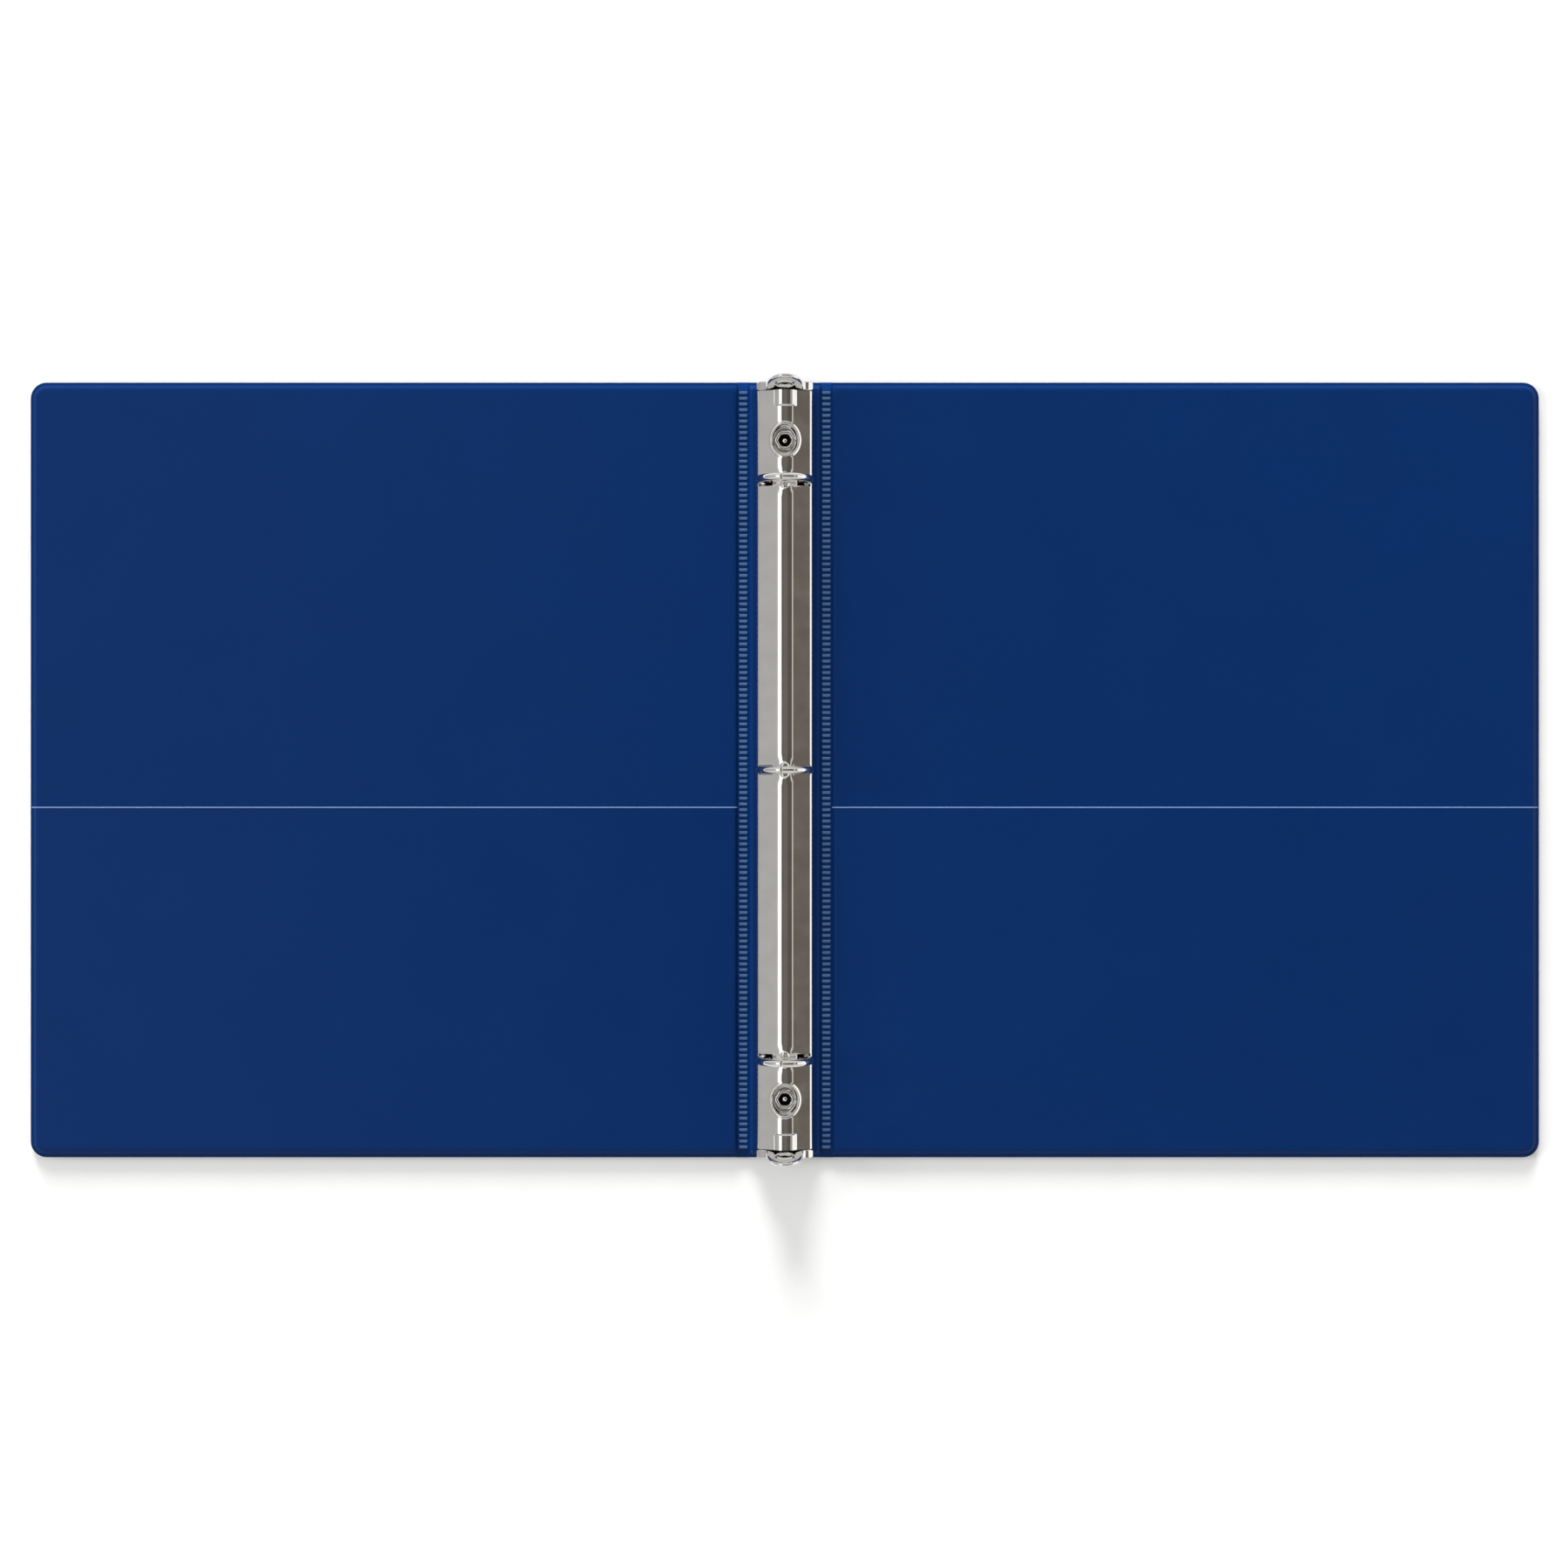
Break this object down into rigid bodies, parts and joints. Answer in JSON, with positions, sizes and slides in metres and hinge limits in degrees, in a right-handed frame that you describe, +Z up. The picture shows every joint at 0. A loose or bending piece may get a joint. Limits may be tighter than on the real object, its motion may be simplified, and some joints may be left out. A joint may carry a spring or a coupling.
{
  "type": "ring binder",
  "caption": "Ring binder lying open, with stiff vinyl covers, a ring mechanism with end levers on the spine, and a pocket inside each cover.",
  "frame": {"origin": "on the table, under the middle of the spine, with the binder lying open and flat", "axes": "+X across the open binder towards the back cover, +Y along the spine towards the top of the covers, +Z up"},
  "size_m": [0.5688, 0.2936, 0.0248],
  "materials": {
    "blue_vinyl": "fine-grained satin vinyl over board",
    "pocket_vinyl": "fine-grained satin vinyl sheet with a pale cut edge",
    "grey_board": "dense grey board",
    "nickel_plate": "bright nickel plate on steel",
    "zinc_steel": "dull zinc-plated steel",
    "rivet_steel": "bright nickel-plated rivet"
  },
  "bodies": {
    "spine": {"spine_outer_skin": "blue_vinyl", "spine_board": "grey_board", "spine_inner_skin": "blue_vinyl", "housing": "nickel_plate", "top_rivet": "rivet_steel", "bottom_rivet": "rivet_steel", "top_post": "zinc_steel", "bottom_post": "zinc_steel"},
    "front_cover": {"front_outer_skin": "blue_vinyl", "front_board": "grey_board", "front_inner_skin": "blue_vinyl", "front_pocket": "pocket_vinyl"},
    "back_cover": {"back_outer_skin": "blue_vinyl", "back_board": "grey_board", "back_inner_skin": "blue_vinyl", "back_pocket": "pocket_vinyl"},
    "left_rings": {"left_blade": "zinc_steel", "top_left_half_ring": "nickel_plate", "middle_left_half_ring": "nickel_plate", "bottom_left_half_ring": "nickel_plate"},
    "right_rings": {"right_blade": "zinc_steel", "top_right_half_ring": "nickel_plate", "middle_right_half_ring": "nickel_plate", "bottom_right_half_ring": "nickel_plate"},
    "top_lever": {"top_lever": "nickel_plate"},
    "bottom_lever": {"bottom_lever": "nickel_plate"}
  },
  "joints": [
    {"name": "front_cover_hinge", "type": "hinge", "parent": "spine", "child": "front_cover", "pos_m": [-0.01565, 0, 0.00145], "axis": [0, 1, 0], "range_deg": [-90, 90]},
    {"name": "back_cover_hinge", "type": "hinge", "parent": "spine", "child": "back_cover", "pos_m": [0.01565, 0, 0.00145], "axis": [0, -1, 0], "range_deg": [-90, 90]},
    {"name": "left_ring_hinge", "type": "hinge", "parent": "spine", "child": "left_rings", "pos_m": [-0.0089, 0, 0.0059], "axis": [0, -1, 0], "range_deg": [0, 15]},
    {"name": "right_ring_hinge", "type": "hinge", "parent": "spine", "child": "right_rings", "pos_m": [0.0089, 0, 0.0059], "axis": [0, 1, 0], "range_deg": [0, 15]},
    {"name": "top_lever_hinge", "type": "hinge", "parent": "spine", "child": "top_lever", "pos_m": [0, 0.1404, 0.0054], "axis": [-1, 0, 0], "range_deg": [0, 35]},
    {"name": "bottom_lever_hinge", "type": "hinge", "parent": "spine", "child": "bottom_lever", "pos_m": [0, -0.1404, 0.0054], "axis": [1, 0, 0], "range_deg": [0, 35]}
  ],
  "couplings": [
    {"joint": "right_ring_hinge", "follows": "left_ring_hinge", "ratio": 1},
    {"joint": "top_lever_hinge", "follows": "left_ring_hinge", "ratio": 2.3333},
    {"joint": "bottom_lever_hinge", "follows": "left_ring_hinge", "ratio": 2.3333}
  ]
}
